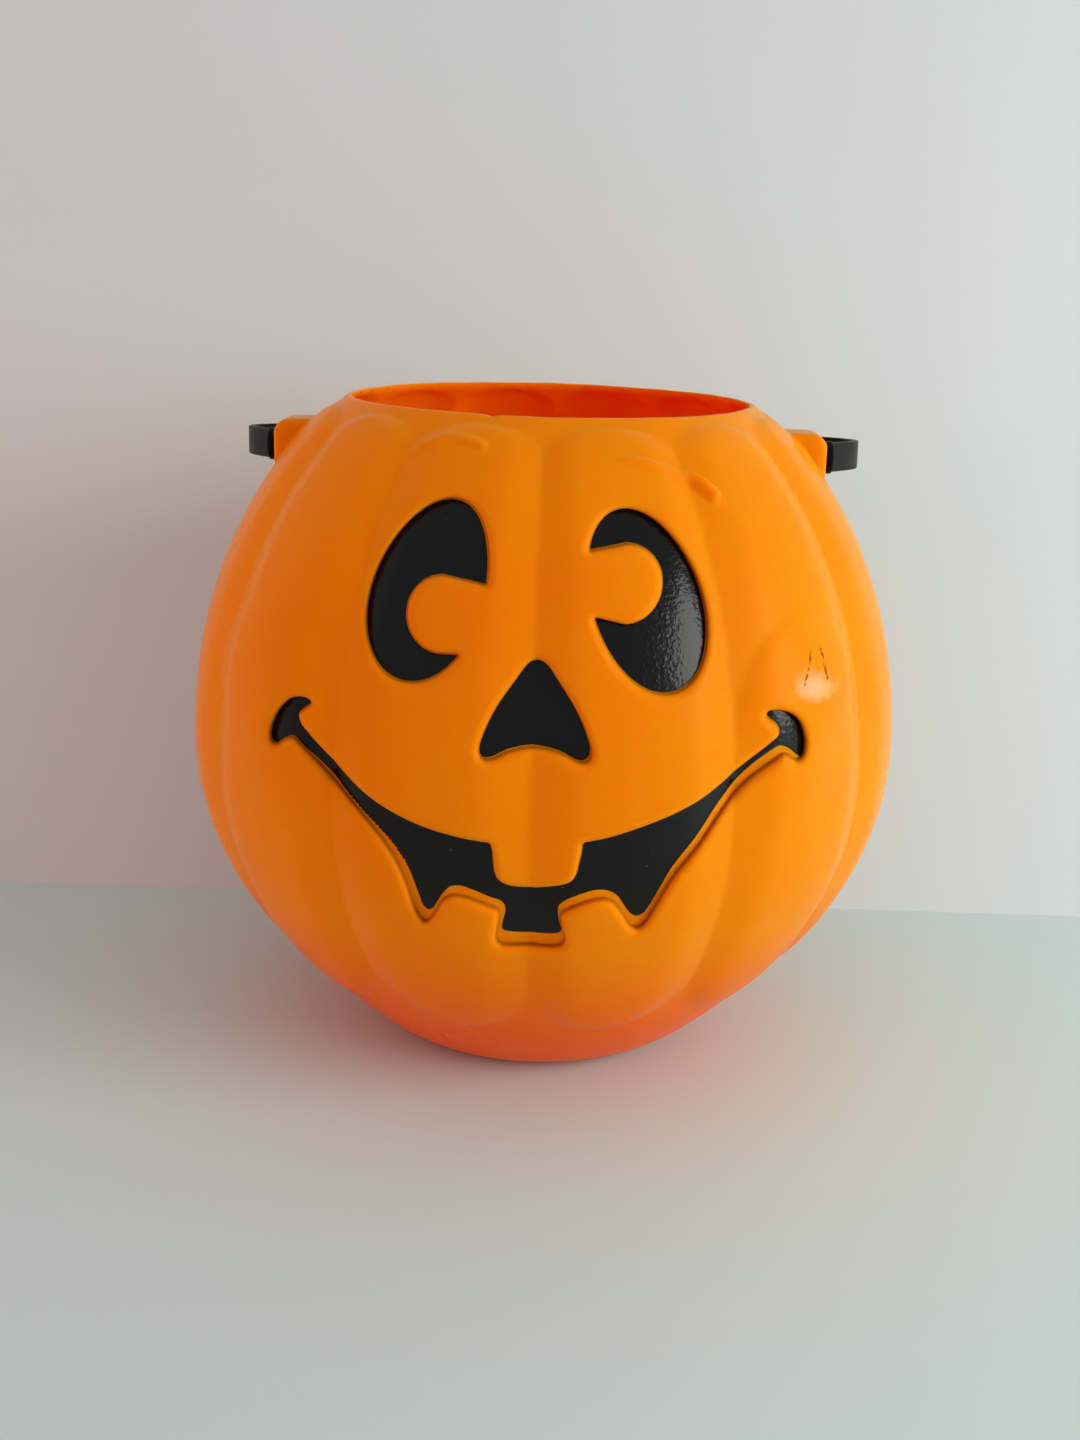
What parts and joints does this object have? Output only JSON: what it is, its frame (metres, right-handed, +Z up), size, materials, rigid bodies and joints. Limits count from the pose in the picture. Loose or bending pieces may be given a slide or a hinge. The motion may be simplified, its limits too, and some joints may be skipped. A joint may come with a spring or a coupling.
{
  "type": "blow-moulded pumpkin pail",
  "caption": "Round lobed pumpkin pail, open at the top, with a recessed black face and a strap handle that swings over the mouth.",
  "frame": {"origin": "middle of the base, on the surface that the pail stands on", "axes": "+Z up, the face looks towards -Y, the handle's pivot runs along X and the handle lies back towards +Y"},
  "size_m": [0.2188, 0.2188, 0.203],
  "materials": {
    "orange_plastic": "translucent orange polyethylene, satin gloss, moulded",
    "black_plastic": "black polyethylene, semi-gloss",
    "black_paint": "sprayed gloss black enamel with a fine orange peel"
  },
  "bodies": {
    "pail": {"shell": "orange_plastic", "paint_left_eye": "black_paint", "paint_right_eye": "black_paint", "paint_nose": "black_paint", "paint_mouth": "black_paint"},
    "handle": {"handle": "black_plastic"}
  },
  "joints": [
    {"name": "handle_swing", "type": "hinge", "parent": "pail", "child": "handle", "pos_m": [0, 0, 0.1865], "axis": [1, 0, 0], "range_deg": [0, 188]}
  ]
}
